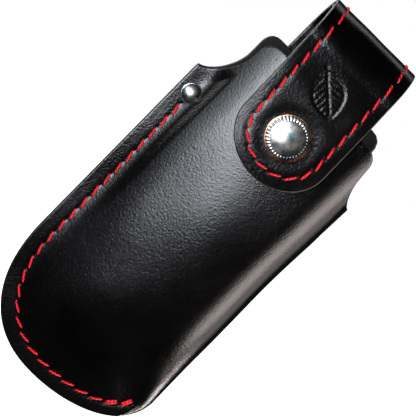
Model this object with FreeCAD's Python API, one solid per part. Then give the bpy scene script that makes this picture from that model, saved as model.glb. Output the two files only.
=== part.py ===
import FreeCAD, Part
import math
import os

# A leather belt sheath for a folding knife.
#
# One piece of leather is folded along its right side and sewn up its left
# side and round the bottom.  A two-layer strap is sewn to the back, makes a
# belt loop there, rises behind the mouth, bends over it and comes down the
# front, where a press stud holds it.
#
# Work frame, in millimetres: X to the right seen from the front, Y to the
# back, Z up.  Y = 0 is the rear face of the back panel and Z = 0 the lowest
# point of the pouch.  Every piece is moved at the end so that the row's
# origin is the middle of the belt channel.

V = FreeCAD.Vector

# Leather
PANEL = 2.4               # thickness of the pouch leather
STRAP_OUTER = 1.8         # outer leather of the strap
STRAP_LINING = 1.4        # lining leather of the strap
STRAP = STRAP_OUTER + STRAP_LINING
THREAD_R = 0.45           # radius of the sewing thread
CURVE_LIFT = 0.35         # keeps a straight stitch off a curved face
SEAM_LIFT = 0.9           # the same where the front starts to rise beside the seam

# Pouch outline, seen from the front
TIP_X = 0.7               # X of the lowest point
LEFT_REACH = 34.2         # tip to the left edge
LEFT_RISE = 40.0          # height where the left edge becomes straight
LEFT_POWER = 2.35         # roundness of the lower left corner, 2 is an ellipse
RIGHT_REACH = 34.3        # tip to the lower right corner
RIGHT_RISE = 20.0         # height of the lower right corner
SEAM_END_Z = 16.0         # where the seam meets the fold
SHOULDER_Z = 112.0        # lower ends of the mouth's curved flanks
SEAM_INSET = 5.3          # outline to the row of stitches
DOME_INSET = 7.5          # outline to where the front starts to rise

# Pouch depth
DEPTH = 17.0              # outside depth of the pouch
DOME_FLOOR = 8.0          # height where the front starts to rise
DOME_RISE = 42.0          # height over which it reaches its full depth
DOME_POWER = 2.3          # how quickly it rises from the seam
SIDE_RISE = 30.0          # width over which it rises from the left seam
FOLD_R = 9.0              # how far the fold's rounding reaches inwards
FOLD_WAIST_X = 33.3       # fold at its narrowest
FOLD_WAIST_Z = 75.0
FOLD_FLARE = 1.8          # how much further out it is 55 mm above or below
TALL = 150.0              # higher than any mouth
SECTIONS = 14             # horizontal sections between the tip and there
BACK_SPARE = 0.6          # sections reach behind the flat back by this much

# Mouth: tongue of the back panel and of the front panel
BACK_TOP = 136.0
FRONT_TOP = 133.8
TONGUE_LEFT = -23.4
TONGUE_RIGHT = 27.2
TONGUE_CORNER = 3.4
FRONT_STEP = 1.5          # the front tongue is this much smaller on the left

# Strap
STRAP_X = 0.95            # middle of the strap
STRAP_W = 34.6
STRAP_SKEW = 0.028        # the front tab drifts this much to the right per mm
LOOP_END_Z = 43.0         # lower end of the belt loop
LOOP_LOW_Z = 55.0         # top of the lower sewn zone
LOOP_HIGH_Z = 121.0       # bottom of the upper sewn zone
LOOP_GAP = 5.6            # belt channel, front to back
LOOP_BEND_R = 8.0         # bends where the loop leaves the back panel
HINGE_Z = 129.0           # where the strap leaves the back panel
TAB_GAP = 21.4            # back panel to the tab, inside the top bend
STRAP_TOP_Z = 158.4
BODY_GAP = 0.3            # between the root, riser and tab pieces
TAB_END_Z = 100.2
TAB_ROUND = 15.0          # height of the tab's rounded end
STRAP_SEAM = 4.2          # strap edge to its row of stitches
STITCH = 5.0              # pitch of the strap's stitches
SEAM_PITCH = 5.3          # pitch of the pouch seam's stitches
STITCH_GAP = 0.9          # bare leather between two stitches
APEX_BARE = 2.8           # no stitch this close to where the tab turns

# Rivet at the top of the seam
RIVET_X = -28.1
RIVET_Z = 103.7
RIVET_R = 3.6
RIVET_RISE = 1.9
RIVET_POST_R = 1.6

# Press stud
SNAP_Z = 116.5
CAP_R = 7.6
CAP_RISE = 2.3
POST_R = 2.0
STUD_R = 3.0
NECK_R = 2.4
STUD_FLANGE_R = 5.2
EYELET_R = 4.2
EYELET_T = 0.7
SOCKET_R = 6.3
SOCKET_BORE = 4.8

# Row origin: the middle of the belt channel
ORIGIN = V(STRAP_X, 0.5 * LOOP_GAP, 0.5 * (LOOP_LOW_Z + LOOP_HIGH_Z))


def front(h):
    """Y of a point that lies h in front of the back panel's rear face."""
    return -h


def power_arc(centre_x, rise, reach, power, start, end, count):
    """Points on a quarter of a superellipse standing on Z = rise - depth."""
    points = []
    for i in range(count):
        a = math.radians(start + (end - start) * i / (count - 1))
        x = centre_x + reach[0] * math.copysign(abs(math.sin(a)) ** (2.0 / power), math.sin(a))
        z = rise - reach[1] * abs(math.cos(a)) ** (2.0 / power)
        points.append(V(x, 0, z))
    return points


def spline(points):
    curve = Part.BSplineCurve()
    curve.interpolate(points)
    return curve.toShape()


def left_arc(inset):
    """Lower left part of the outline, from the straight edge to the tip."""
    reach = (LEFT_REACH - inset, LEFT_RISE - inset)
    return power_arc(TIP_X, LEFT_RISE, reach, LEFT_POWER, -90, 0, 13)


def right_arc(inset):
    """Lower right part of the outline, from the tip to the seam's end."""
    reach = (RIGHT_REACH - 0.7 * inset, RIGHT_RISE - inset)
    stop = math.degrees(math.acos((RIGHT_RISE - SEAM_END_Z) / reach[1]))
    return power_arc(TIP_X, RIGHT_RISE, reach, 2.0, 0, stop, 9)


def fold_x(z):
    """X of the outside of the fold."""
    if z < RIGHT_RISE:
        drop = RIGHT_RISE - z
        edge = TIP_X + RIGHT_REACH * math.sqrt(1 - (drop / RIGHT_RISE) ** 2)
        return edge - DOME_INSET * (drop / (RIGHT_RISE - DOME_FLOOR)) ** 1.5
    return FOLD_WAIST_X + FOLD_FLARE * ((z - FOLD_WAIST_Z) / 55.0) ** 2


def dome_left(z):
    """X where the front panel leaves the seam."""
    reach = LEFT_REACH - DOME_INSET
    if z >= LEFT_RISE:
        return TIP_X - reach
    ratio = (LEFT_RISE - z) / (LEFT_RISE - 5.0)
    return TIP_X - reach * (1 - ratio ** LEFT_POWER) ** (1 / LEFT_POWER)


def depth(z):
    """Outside depth of the pouch at height z."""
    t = min(max((z - DOME_FLOOR) / DOME_RISE, 0.0), 1.0)
    return 2 * PANEL + (DEPTH - 2 * PANEL) * (1 - (1 - t) ** DOME_POWER)


def section_points(z, wall):
    """Points round a horizontal section of the pouch, wall deep inside it.

    The back is straight, the right side a half ellipse for the fold, and
    the front falls to the seam as 1 - (1 - t) ** DOME_POWER.
    """
    left = dome_left(z) + 1.3 * wall
    right = fold_x(z) - wall
    low = wall - BACK_SPARE
    high = depth(z) - wall
    round_in = min(FOLD_R - wall, 0.3 * (right - left))
    rise_in = min(SIDE_RISE, 0.55 * (right - left))
    seam = min(PANEL + 0.3, 0.5 * (low + high))
    turn = right - round_in
    points = []
    for i in range(6):
        x = left + 2.5 + (turn - left - 2.5) * i / 5
        points.append(V(x, front(low), z))
    middle = 0.5 * (low + high)
    for i in range(1, 8):
        a = math.radians(-90 + 180 * i / 8)
        x = turn + round_in * math.cos(a)
        points.append(V(x, front(middle + (high - middle) * math.sin(a)), z))
    points.append(V(turn, front(high), z))
    top = left + rise_in
    points.append(V(0.5 * (turn + top), front(high), z))
    for i in range(8):
        t = 1 - i / 8
        rise = 1 - (1 - t) ** DOME_POWER
        points.append(V(left + rise_in * t, front(seam + (high - seam) * rise), z))
    points.append(V(left - 0.2, front(0.5 * (seam + low)), z))
    return points


def section(z, wall):
    """Closed section curve; all of them share the waist's knots."""
    waist = section_points(FOLD_WAIST_Z, 0.0)
    knots = [0.0]
    for a, b in zip(waist, waist[1:] + waist[:1]):
        knots.append(knots[-1] + (b - a).Length)
    curve = Part.BSplineCurve()
    curve.interpolate(Points=section_points(z, wall), PeriodicFlag=True, Parameters=knots)
    return Part.Wire([curve.toShape()])


def ruled_shell(low, high, wall):
    """Solid through sections that lie closer together towards the tip."""
    heights = [low + (high - low) * (i / SECTIONS) ** 2 for i in range(SECTIONS + 1)]
    return Part.makeLoft([section(z, wall) for z in heights], True, True)


def slab(low, high, outline):
    """Prism of an XZ outline, from low to high in front of the back face."""
    face = Part.Face(outline)
    face.translate(V(0, front(low), 0))
    return face.extrude(V(0, front(high - low), 0))


def mouth_outline(top, left):
    """XZ outline of a panel up to its mouth: a tongue with hollow flanks."""
    far = 45.0
    floor = -5.0
    corner = TONGUE_CORNER
    knee = SHOULDER_Z + 14.5
    lobe = corner * (1 - math.sqrt(0.5))
    a = V(-far, 0, floor)
    b = V(-far, 0, SHOULDER_Z - 0.5)
    c = V(-33.2, 0, SHOULDER_Z - 0.5)
    d = V(left, 0, knee)
    e = V(left + 0.3, 0, top - corner)
    f = V(left + corner, 0, top)
    g = V(TONGUE_RIGHT - corner, 0, top)
    h = V(TONGUE_RIGHT, 0, top - corner)
    i = V(TONGUE_RIGHT + 0.8, 0, knee)
    j = V(34.0, 0, SHOULDER_Z)
    k = V(far, 0, SHOULDER_Z)
    m = V(far, 0, floor)
    left_flank = V(left - 2.7, 0, SHOULDER_Z + 5.7)
    right_flank = V(TONGUE_RIGHT + 2.4, 0, SHOULDER_Z + 5.4)
    edges = [
        Part.LineSegment(a, b).toShape(),
        Part.LineSegment(b, c).toShape(),
        Part.Arc(c, left_flank, d).toShape(),
        Part.LineSegment(d, e).toShape(),
        Part.Arc(e, V(left + lobe, 0, top - lobe), f).toShape(),
        Part.LineSegment(f, g).toShape(),
        Part.Arc(g, V(TONGUE_RIGHT - lobe, 0, top - lobe), h).toShape(),
        Part.LineSegment(h, i).toShape(),
        Part.Arc(i, right_flank, j).toShape(),
        Part.LineSegment(j, k).toShape(),
        Part.LineSegment(k, m).toShape(),
        Part.LineSegment(m, a).toShape(),
    ]
    return Part.Wire(edges)


def seam_margin():
    """The two sewn layers outside the row of stitches, as one plate."""
    left = left_arc(0)
    right = right_arc(0)
    start = left[0]
    end = right[-1]
    shoulder = V(start.x, 0, SHOULDER_Z + 5)
    inner = V(dome_left(TALL) + 5.0, 0, shoulder.z)
    low_left = V(inner.x, 0, LEFT_RISE)
    floor = V(TIP_X - 8.0, 0, DOME_FLOOR + 4.0)
    low_right = V(fold_x(20.0) - 12.0, 0, SEAM_END_Z + 2.0)
    wire = Part.Wire([
        spline(left),
        spline(right),
        Part.LineSegment(end, low_right).toShape(),
        Part.LineSegment(low_right, floor).toShape(),
        Part.LineSegment(floor, low_left).toShape(),
        Part.LineSegment(low_left, inner).toShape(),
        Part.LineSegment(inner, shoulder).toShape(),
        Part.LineSegment(shoulder, start).toShape(),
    ])
    return slab(0, 2 * PANEL, wire)


def pouch_body():
    """Folded leather with its cavity, open at the mouth."""
    outside = ruled_shell(7.0, TALL, 0.0)
    cavity = ruled_shell(11.0, TALL + 2, PANEL)
    ahead = Part.makeBox(90, 40, 170, V(-45, -40, -5))
    inner_ahead = Part.makeBox(90, 40, 170, V(-45, -40 - PANEL, -5))
    outside = outside.common(ahead).fuse(seam_margin())
    shell = outside.cut(cavity.common(inner_ahead))
    shell = shell.common(slab(-1, 40, mouth_outline(BACK_TOP, TONGUE_LEFT)))
    front_keep = slab(PANEL, 40, mouth_outline(FRONT_TOP, TONGUE_LEFT + FRONT_STEP))
    front_zone = Part.makeBox(90, 40, 60, V(-45, -40 - PANEL, SHOULDER_Z - 20))
    shell = shell.cut(front_zone.cut(front_keep))
    shell = shell.cut(rivet_hole(0, 2 * PANEL))
    hole = Part.makeCylinder(POST_R, PANEL + 2, snap_point(DEPTH + 1), V(0, 1, 0))
    seat = Part.makeCylinder(EYELET_R, 2 * EYELET_T, snap_point(DEPTH - PANEL), V(0, 1, 0))
    return shell.cut(hole).cut(seat)


def strap_edges(d, part):
    """Edges of one part of the strap's path, d outside the lining's face.

    The path runs up the back and out round the belt channel ("loop"), up
    behind the mouth to the top ("riser"), and down the front ("tab").
    """
    r = LOOP_BEND_R
    turn = math.acos(1 - LOOP_GAP / (2 * r))
    half = r * math.sin(turn)
    c = math.cos(0.5 * turn)
    s = math.sin(0.5 * turn)
    inner = r - d
    outer = r + d
    low = LOOP_LOW_Z
    high = LOOP_HIGH_Z
    mid = V(0, r - inner * math.cos(turn), low + inner * math.sin(turn))
    mid_top = V(0, mid.y, high - inner * math.sin(turn))
    out = LOOP_GAP + d
    edges = []
    if part == "loop":
        edges.append(Part.LineSegment(V(0, d, LOOP_END_Z), V(0, d, low)))
        edges.append(Part.Arc(V(0, d, low), V(0, r - inner * c, low + inner * s), mid))
        edges.append(Part.Arc(
            mid,
            V(0, LOOP_GAP - r + outer * c, low + 2 * half - outer * s),
            V(0, out, low + 2 * half)))
        edges.append(Part.LineSegment(V(0, out, low + 2 * half), V(0, out, high - 2 * half)))
        edges.append(Part.Arc(
            V(0, out, high - 2 * half),
            V(0, LOOP_GAP - r + outer * c, high - 2 * half + outer * s),
            mid_top))
        edges.append(Part.Arc(mid_top, V(0, r - inner * c, high - inner * s), V(0, d, high)))
        edges.append(Part.LineSegment(V(0, d, high), V(0, d, HINGE_Z)))
    bend = 0.5 * TAB_GAP + d
    centre = V(0, -0.5 * TAB_GAP, STRAP_TOP_Z - STRAP - 0.5 * TAB_GAP)
    nick = 0.5 * BODY_GAP / (0.5 * TAB_GAP + STRAP)
    rear = V(0, d, centre.z)
    ahead = V(0, -TAB_GAP - d, centre.z)

    def on_bend(a):
        return centre + V(0, bend * math.cos(a), bend * math.sin(a))

    quarter = 0.25 * math.pi
    if part == "riser":
        edges.append(Part.LineSegment(V(0, d, HINGE_Z + BODY_GAP), rear))
        edges.append(Part.Arc(rear, on_bend(quarter), on_bend(2 * quarter - nick)))
    if part == "tab":
        edges.append(Part.Arc(on_bend(2 * quarter + nick), on_bend(3 * quarter), ahead))
        edges.append(Part.LineSegment(ahead, V(0, ahead.y, TAB_END_Z - 1)))
    return [edge.toShape() for edge in edges]


def band(low, high, part):
    """A layer of the strap between two depths, wider than the strap."""
    inner = strap_edges(low, part)
    outer = strap_edges(high, part)
    first = [edges[0].Vertexes[0].Point for edges in (inner, outer)]
    last = [edges[-1].Vertexes[-1].Point for edges in (inner, outer)]
    ends = [Part.LineSegment(*first).toShape(), Part.LineSegment(*last).toShape()]
    outline = Part.Wire(Part.__sortEdges__(inner + outer + ends))
    face = Part.Face(outline)
    face.translate(V(STRAP_X - STRAP_W, 0, 0))
    return face.extrude(V(2 * STRAP_W, 0, 0))


def tab_centre(z):
    """X of the middle of the front tab at height z."""
    return STRAP_X + STRAP_SKEW * (STRAP_TOP_Z - z)


def tab_outline(inset):
    """Closed XZ outline of the tab, with its rounded end, inset all round."""
    half = 0.5 * STRAP_W - inset
    neck = TAB_END_Z + TAB_ROUND
    low = TAB_END_Z + inset
    top = STRAP_TOP_Z + 2
    arc = []
    for i in range(13):
        a = math.pi * i / 12
        z = neck - (neck - low) * math.sin(a)
        arc.append(V(tab_centre(z) - half * math.cos(a), 0, z))
    left_top = V(tab_centre(top) - half, 0, top)
    right_top = V(tab_centre(top) + half, 0, top)
    return [
        Part.LineSegment(left_top, arc[0]).toShape(),
        spline(arc),
        Part.LineSegment(arc[-1], right_top).toShape(),
        Part.LineSegment(right_top, left_top).toShape(),
    ]


def strap_outline():
    """Closed XZ outline of the straight rear strap, with two round corners."""
    left = STRAP_X - 0.5 * STRAP_W
    right = STRAP_X + 0.5 * STRAP_W
    top = STRAP_TOP_Z + 2
    r = 8.0
    k = r * (1 - math.sqrt(0.5))
    low = LOOP_END_Z
    return [
        Part.LineSegment(V(left, 0, top), V(left, 0, low + r)).toShape(),
        Part.Arc(V(left, 0, low + r), V(left + k, 0, low + k), V(left + r, 0, low)).toShape(),
        Part.LineSegment(V(left + r, 0, low), V(right - r, 0, low)).toShape(),
        Part.Arc(V(right - r, 0, low), V(right - k, 0, low + k), V(right, 0, low + r)).toShape(),
        Part.LineSegment(V(right, 0, low + r), V(right, 0, top)).toShape(),
        Part.LineSegment(V(right, 0, top), V(left, 0, top)).toShape(),
    ]


def strap_layer(low, high, part):
    """One leather layer of the rear strap, cut to its outline."""
    return band(low, high, part).common(slab(-40, 60, Part.Wire(strap_outline())))


def tab_layer(low, high):
    """One leather layer of the tab, with the hole for the press stud."""
    layer = band(low, high, "tab").common(slab(-40, 60, Part.Wire(tab_outline(0))))
    hole = Part.makeCylinder(POST_R, 20, snap_point(TAB_GAP + STRAP + 4), V(0, 1, 0))
    return layer.cut(hole)


def stitches(path, pitch, normal, lift):
    """Short straight stitches along a wire, standing lift off its surface.

    normal gives the outward direction of the surface at a point.
    """
    count = max(int(round(path.Length / pitch)), 1)
    ends = path.discretize(Number=count + 1)
    thread = []
    for a, b in zip(ends[:-1], ends[1:]):
        along = (b - a).normalize()
        out = normal(0.5 * (a + b)) * (THREAD_R + lift)
        foot = a + along * (0.5 * STITCH_GAP) + out
        length = (b - a).Length - STITCH_GAP
        thread.append(Part.makeCylinder(THREAD_R, length, foot, along))
    return thread


def seam_path(h):
    """The pouch seam's row of stitches at h in front of the back face."""
    left = left_arc(SEAM_INSET)
    top = V(left[0].x, 0, RIVET_Z - RIVET_R - 1.0)
    wire = Part.Wire([
        Part.LineSegment(top, left[0]).toShape(),
        spline(left),
        spline(right_arc(SEAM_INSET)[:-2]),
    ])
    wire.translate(V(0, front(h), 0))
    return wire


def seam_thread(h, direction, lift):
    return Part.makeCompound(stitches(seam_path(h), SEAM_PITCH, lambda p: V(0, direction, 0), lift))


def strap_normal(side):
    """Outward direction of the strap's face; side is 1 outside, -1 inside."""
    centre_z = STRAP_TOP_Z - STRAP - 0.5 * TAB_GAP

    def normal(p):
        if p.z > centre_z:
            return V(0, p.y + 0.5 * TAB_GAP, p.z - centre_z).normalize() * side
        return V(0, side if p.y > -0.5 * TAB_GAP else -side, 0)

    return normal


def rear_rows(d, part, low, high, side):
    """Both edge rows of the rear strap between two heights."""
    keep = Part.makeBox(0.2, 60, high - low, V(-0.1, APEX_BARE - 0.5 * TAB_GAP, low))
    path = Part.Wire(strap_edges(d, part)).common(keep)
    wire = Part.Wire(Part.__sortEdges__(path.Edges))
    thread = []
    for reach in (-1, 1):
        row = wire.copy()
        row.translate(V(STRAP_X + reach * (0.5 * STRAP_W - STRAP_SEAM), 0, 0))
        thread += stitches(row, STITCH, strap_normal(side), CURVE_LIFT)
    return Part.makeCompound(thread)


def cross_rows(y, side):
    """Rows across the strap that sew it to the back panel."""
    half = 0.5 * STRAP_W - STRAP_SEAM - 1.5
    thread = []
    for z in (LOOP_END_Z + 4, LOOP_LOW_Z - 3, LOOP_HIGH_Z + 2, HINGE_Z - 2):
        row = Part.Wire([Part.LineSegment(V(STRAP_X - half, y, z), V(STRAP_X + half, y, z)).toShape()])
        thread += stitches(row, STITCH, lambda p: V(0, side, 0), 0)
    return Part.makeCompound(thread)


def tab_rows(d, side):
    """The tab's row of stitches: down both edges and round its end."""
    edges = tab_outline(STRAP_SEAM)
    flat = Part.Wire(edges[:3])
    centre_z = STRAP_TOP_Z - STRAP - 0.5 * TAB_GAP
    marks = flat.discretize(Number=int(round(flat.Length / STITCH)) + 1)
    thread = []
    bend = 0.5 * TAB_GAP + d
    for a, b in zip(marks[:-1], marks[1:]):
        ends = []
        for p in (a, b):
            y = -TAB_GAP - d
            z = p.z
            if z > centre_z:
                angle = min((z - centre_z) / bend, 0.5 * math.pi - APEX_BARE / bend)
                y = -0.5 * TAB_GAP - bend * math.cos(angle)
                z = centre_z + bend * math.sin(angle)
            ends.append(V(p.x, y, z))
        if (ends[1] - ends[0]).Length < 2 * STITCH_GAP:
            continue
        row = Part.Wire([Part.LineSegment(*ends).toShape()])
        thread += stitches(row, STITCH, strap_normal(side), CURVE_LIFT)
    return Part.makeCompound(thread)


def snap_point(h):
    """Centre line of the press stud at h in front of the back face."""
    return V(tab_centre(SNAP_Z), front(h), SNAP_Z)


def turned(profile, h):
    """Solid of revolution about the press stud's or rivet's centre line.

    profile lists (radius, height above h) corners, from the axis outwards.
    """
    points = [V(r, front(h + rise), 0) for r, rise in profile]
    face = Part.Face(Part.makePolygon(points + points[:1]))
    return face.revolve(V(0, 0, 0), V(0, 1, 0), 360)


def dome(radius, rise, h):
    """Half-round cap: an elliptical dome with a short straight rim."""
    rim = 0.25 * rise
    profile = [(0, 0), (radius, 0)]
    for i in range(9):
        a = 0.5 * math.pi * i / 8
        profile.append((radius * math.cos(a), rim + (rise - rim) * math.sin(a)))
    profile[-1] = (0, rise)
    return turned(profile, h)


def at_rivet(shape):
    shape.translate(V(RIVET_X, 0, RIVET_Z))
    return shape


def at_snap(shape):
    shape.translate(V(tab_centre(SNAP_Z), 0, SNAP_Z))
    return shape


def rivet_hole(low, high):
    return Part.makeCylinder(RIVET_POST_R, high - low, V(RIVET_X, front(low), RIVET_Z), V(0, -1, 0))


def seam_rivet_cap():
    """Domed head of the rivet and the upper half of its post."""
    head = dome(RIVET_R, RIVET_RISE, 2 * PANEL)
    post = turned([(0, 0), (RIVET_POST_R, 0), (RIVET_POST_R, PANEL), (0, PANEL)], PANEL)
    return at_rivet(head.fuse(post).removeSplitter())


def seam_rivet_base():
    """Flat rear head of the rivet and the lower half of its post."""
    r = RIVET_POST_R
    return at_rivet(turned([(0, -0.8), (RIVET_R, -0.8), (RIVET_R, 0), (r, 0), (r, PANEL), (0, PANEL)], 0))


def snap_stud():
    """Stud on the front panel: flange, neck and head."""
    profile = [
        (0, 0), (STUD_FLANGE_R, 0), (STUD_FLANGE_R, 0.7), (NECK_R, 0.8),
        (NECK_R, 1.8), (STUD_R, 2.1), (STUD_R, 2.6), (STUD_R - 0.5, 3.0), (0, 3.0),
    ]
    return at_snap(turned(profile, DEPTH))


def snap_stud_post():
    """Eyelet behind the stud: post through the panel and a flange inside."""
    r = POST_R
    rim = EYELET_R
    back = -EYELET_T
    inside = DEPTH - PANEL
    return at_snap(turned([(0, back), (rim, back), (rim, 0), (r, 0), (r, PANEL), (0, PANEL)], inside))


def snap_cap():
    """Domed cap on the tab and its post, flared inside the socket."""
    cap = dome(CAP_R, CAP_RISE, TAB_GAP + STRAP)
    post = turned([
        (0, -0.9), (2.9, -0.9), (2.9, -0.5), (POST_R, -0.5), (POST_R, STRAP), (0, STRAP)], TAB_GAP)
    return at_snap(cap.fuse(post).removeSplitter())


def snap_socket():
    """Ring on the tab's lining that drops over the stud."""
    profile = [
        (POST_R, -0.5), (SOCKET_BORE, -0.5), (SOCKET_BORE, -3.2), (SOCKET_R, -3.2), (SOCKET_R, 0), (POST_R, 0),
    ]
    return at_snap(turned(profile, TAB_GAP))


def snap_spring():
    """Round wire ring inside the socket that grips under the stud's head."""
    ring = Part.makeTorus(3.05, 0.3, V(0, front(DEPTH + 1.35), 0), V(0, 1, 0))
    return at_snap(ring)


PIECES = {
    "pouch_body": pouch_body,
    "seam_thread_front": lambda: seam_thread(2 * PANEL, -1, SEAM_LIFT),
    "seam_thread_back": lambda: seam_thread(0, 1, 0),
    "seam_rivet_cap": seam_rivet_cap,
    "seam_rivet_base": seam_rivet_base,
    "snap_stud": snap_stud,
    "snap_stud_post": snap_stud_post,
    "belt_loop_outer": lambda: strap_layer(STRAP_LINING, STRAP, "loop"),
    "belt_loop_lining": lambda: strap_layer(0, STRAP_LINING, "loop"),
    "loop_edge_thread": lambda: rear_rows(STRAP, "loop", LOOP_LOW_Z + 1, LOOP_HIGH_Z - 1, 1),
    "loop_cross_thread": lambda: cross_rows(STRAP, 1),
    "loop_inside_thread": lambda: cross_rows(front(PANEL), -1),
    "riser_outer": lambda: strap_layer(STRAP_LINING, STRAP, "riser"),
    "riser_lining": lambda: strap_layer(0, STRAP_LINING, "riser"),
    "riser_thread_outer": lambda: rear_rows(STRAP, "riser", HINGE_Z + 1, STRAP_TOP_Z + 1, 1),
    "riser_thread_inner": lambda: rear_rows(0, "riser", BACK_TOP + 1, STRAP_TOP_Z + 1, -1),
    "tab_outer": lambda: tab_layer(STRAP_LINING, STRAP),
    "tab_lining": lambda: tab_layer(0, STRAP_LINING),
    "tab_thread_outer": lambda: tab_rows(STRAP, 1),
    "tab_thread_inner": lambda: tab_rows(0, -1),
    "snap_cap": snap_cap,
    "snap_socket": snap_socket,
    "snap_spring": snap_spring,
}

os.makedirs("parts", exist_ok=True)
for name, make in PIECES.items():
    shape = make()
    shape.translate(ORIGIN * -1)
    shape.exportStep("parts/" + name + ".step")
    print(name, len(shape.Solids), shape.isValid(), round(shape.Volume, 1), shape.BoundBox)
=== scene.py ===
import math

import bpy
import numpy as np
from mathutils import Matrix, Vector


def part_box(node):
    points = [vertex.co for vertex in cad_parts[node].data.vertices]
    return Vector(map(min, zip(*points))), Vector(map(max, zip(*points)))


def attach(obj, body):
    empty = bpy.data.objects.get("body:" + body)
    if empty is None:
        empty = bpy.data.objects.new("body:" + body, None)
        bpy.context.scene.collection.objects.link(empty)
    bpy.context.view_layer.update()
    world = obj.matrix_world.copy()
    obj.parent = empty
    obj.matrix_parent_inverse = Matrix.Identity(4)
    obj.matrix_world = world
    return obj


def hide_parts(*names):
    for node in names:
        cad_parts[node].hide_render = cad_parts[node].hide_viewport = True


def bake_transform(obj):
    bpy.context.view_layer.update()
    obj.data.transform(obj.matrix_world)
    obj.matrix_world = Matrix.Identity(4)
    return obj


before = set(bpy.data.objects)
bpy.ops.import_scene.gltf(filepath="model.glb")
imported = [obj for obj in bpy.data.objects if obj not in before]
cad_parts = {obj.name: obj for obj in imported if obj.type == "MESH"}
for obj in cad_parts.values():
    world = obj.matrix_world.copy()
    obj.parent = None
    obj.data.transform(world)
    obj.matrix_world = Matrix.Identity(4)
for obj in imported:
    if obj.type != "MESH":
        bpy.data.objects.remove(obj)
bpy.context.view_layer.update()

# Black leather belt sheath with red stitching, in millimetres in the sheath's own axes:
# X right seen from the front, Y to the back from the rear face, Z up from the tip.
# place() turns them into metres in the shared frame.

MM = 0.001

# Leather and thread
PANEL = 2.4
STRAP_OUTER = 1.8
STRAP_LINING = 1.4
STRAP = STRAP_OUTER + STRAP_LINING
THREAD_R = 0.38
THREAD_SUNK = 0.08
THREAD_END = 0.72
PLY_LOBE = 0.1
PLY_TWIST = 5.2
EDGE_BULGE = 0.35
EDGE_POWER = 0.7
LAYER_GAP = 0.04

# Pouch outline
TIP_X = 0.7
LEFT_REACH = 34.2
LEFT_RISE = 40.0
LEFT_POWER = 2.35
RIGHT_REACH = 34.3
RIGHT_RISE = 20.0
RIGHT_DRAW = 0.7
SEAM_INSET = 5.3
SEAM_END_Z = 16.9
CORNER_Z = 10.8
SHOULDER_Z = 111.8
SHOULDER_X = -33.2
FLANK_POWER = 1.6
MOUTH_POWER = 2.2
MOUTH_SAG = 0.7

# Pouch depth
DEPTH = 17.4
DOME_INSET = 6.6
DOME_WIDTH = 46.0
DOME_POWER = 2.3
CREASE = 1.4
WING = 0.12
WING_Z = 30.0
WING_SPAN = 82.0
WING_LOOSE = 5.0
WING_FREE_Z = 109.0
WING_FREE_SPAN = 10.0
WING_REACH = 18.0
CREASE_SINK = 0.18
RIDGE = 6.0
RIDGE_START = 1.0
RIDGE_SPAN = 14.0
TAPER = 0.2
TAPER_Z = 95.0
FOLD_R = 13.0
FOLD_LEAST_R = 0.8
FOLD_GROWTH = 0.5
FOLD_WAIST_X = 33.3
FOLD_WAIST_Z = 75.0
FOLD_FLARE = 1.8
FOLD_FLARE_SPAN = 55.0
CALM_W = 9.0

# Uneven surface: height and length of its waves
POUCH_WAVE, POUCH_WAVE_MM = 0.12, 26.0
STRAP_WAVE, STRAP_WAVE_MM = 0.10, 18.0
LINING_WAVE, LINING_WAVE_MM = 0.06, 15.0

# Strap
STRAP_X = 0.95
STRAP_W = 34.6
STRAP_SKEW = 0.0252
STRAP_SEAM = 4.2
LOOP_END_Z = 43.0
LOOP_LOW_Z = 55.0
LOOP_HIGH_Z = 121.0
LOOP_GAP = 5.6
LOOP_BEND_R = 8.0
LOOP_CORNER_R = 8.0
TAB_GAP = 21.4
STRAP_TOP_Z = 158.4
TAB_END_Z = 100.2
TAB_ROUND = 15.0
PULL = 2.2
HINGE_Z = 129.0
SPLIT_Z = 136.8

# Stitching
SEAM_PITCH = 5.3
STRAP_PITCH = 5.2
SEAM_SLANT, STRAP_SLANT, TAB_SLANT = 0.5, 0.3, -0.4
STITCH_GAP = 0.25
STITCH_STEPS = 12
LOCK_STITCHES = 2
GROOVE_W = 0.9
HOLE_W = 0.55
SEAM_GROOVE, SEAM_HOLE = 0.16, 0.15
STRAP_GROOVE, STRAP_HOLE = 0.08, 0.10
HOLE_DIVE = 0.75

# Tab
CROWN = 1.1
CROWN_Z = 134.2
CROWN_SPAN = 22.0
CAP_DIP = 0.35
CAP_DIP_W = 2.6
WRINKLE = 0.008
WRINKLES = 27

# Stamp
LEAF_Z = 135.0
LEAF_LENGTH = 15.0
LEAF_WIDTH = 10.0
LEAF_TURN = 0.75
VEIN_GAP = 2.1
VEIN_SLANT = 0.8
LEAF_LINE_W, VEIN_W = 0.35, 0.28
LEAF_FIELD, LEAF_LINE = 0.10, 0.27
VEIN_SHARE = 0.7

# Press stud and rivet
RIVET = (-28.1, 103.7)
RIVET_R = 3.6
RIVET_RISE, RIVET_RIM = 1.9, 0.4
SNAP_Z = 116.5
CAP_R = 7.6
CAP_RISE, CAP_RIM = 2.0, 0.55
CAP_WORN = 0.8
BEADS = 38
BEAD_RING = CAP_R - 1.25
BEAD_RISE, BEAD_W = 0.34, 0.42
TRACK_DEPTH, TRACK_W = 0.14, 0.8

pouch_low, pouch_high = (np.array(corner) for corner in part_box("pouch_body"))
ORIGIN = np.array([pouch_low[0] + (LEFT_REACH - TIP_X) * MM, pouch_high[1], pouch_low[2]])


def place(points):
    """Millimetres in the sheath's axes to metres in the shared frame."""
    return ORIGIN + MM * np.asarray(points, float)


# ---- curves and grids

def resample(points, count):
    """The same polyline as count points, evenly spaced along it."""
    points = np.asarray(points, float)
    steps = np.linalg.norm(np.diff(points, axis=0), axis=1)
    along = np.concatenate([[0.0], np.cumsum(steps)])
    wanted = np.linspace(0, along[-1], count)
    return np.stack([np.interp(wanted, along, axis) for axis in points.T], -1)


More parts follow.
